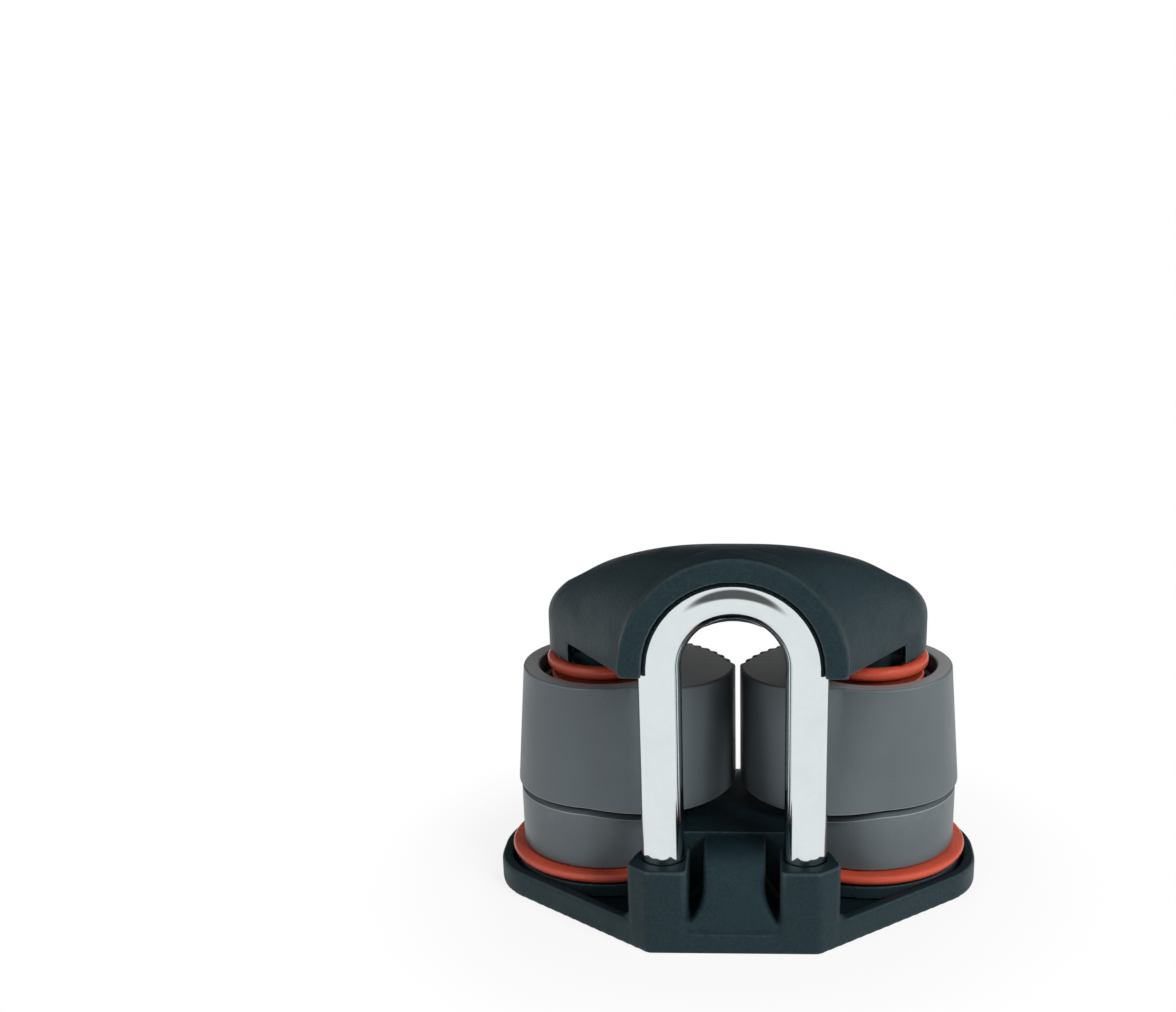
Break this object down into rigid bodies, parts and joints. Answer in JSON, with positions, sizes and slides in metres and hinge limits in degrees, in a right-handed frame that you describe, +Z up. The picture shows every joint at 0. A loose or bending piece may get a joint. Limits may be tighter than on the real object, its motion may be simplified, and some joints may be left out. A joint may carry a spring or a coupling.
{
  "type": "angle fairlead",
  "caption": "Angle fairlead with a polished wire bail and a moulded bridge, screwed down over a sprung two-cam rope cleat on a flat moulded base.",
  "frame": {"origin": "on the underside of the base, halfway between the two cam pivots", "axes": "+X to the right along the line through the two pivots, +Y to the back, the way the held line pulls, +Z up from the deck"},
  "size_m": [0.0704, 0.0434, 0.0553],
  "materials": {
    "black_moulding": "matte moulded, fine grain",
    "hard_coat_grey": "satin hard coat",
    "orange_ring": "glossy moulded",
    "polished_steel": "mirror polished stainless",
    "plain_steel": "plain stainless"
  },
  "bodies": {
    "fairlead": {"fairlead_base": "black_moulding", "cleat_base": "black_moulding", "fairlead_bridge": "black_moulding", "bail": "polished_steel", "lower_ring_left": "orange_ring", "lower_ring_right": "orange_ring", "pivot_sleeve_left": "plain_steel", "pivot_sleeve_right": "plain_steel", "torsion_spring_left": "plain_steel", "torsion_spring_right": "plain_steel", "ball_row_lower_left": "plain_steel", "ball_row_middle_left": "plain_steel", "ball_row_upper_left": "plain_steel", "ball_row_lower_right": "plain_steel", "ball_row_middle_right": "plain_steel", "ball_row_upper_right": "plain_steel", "mounting_screw_left": "polished_steel", "mounting_screw_right": "polished_steel"},
    "left_cam": {"cam_left": "hard_coat_grey", "upper_ring_left": "orange_ring"},
    "right_cam": {"cam_right": "hard_coat_grey", "upper_ring_right": "orange_ring"}
  },
  "joints": [
    {"name": "left_cam_pivot", "type": "hinge", "parent": "fairlead", "child": "left_cam", "pos_m": [-0.019, 0, 0.0195], "axis": [0, 0, -1], "range_deg": [0, 60], "stiffness_Nm_per_rad": 0.02, "springref_deg": -57.3, "deforming": ["torsion_spring_left"]},
    {"name": "right_cam_pivot", "type": "hinge", "parent": "fairlead", "child": "right_cam", "pos_m": [0.019, 0, 0.0195], "axis": [0, 0, 1], "range_deg": [0, 60], "stiffness_Nm_per_rad": 0.02, "springref_deg": -57.3, "deforming": ["torsion_spring_right"]}
  ]
}
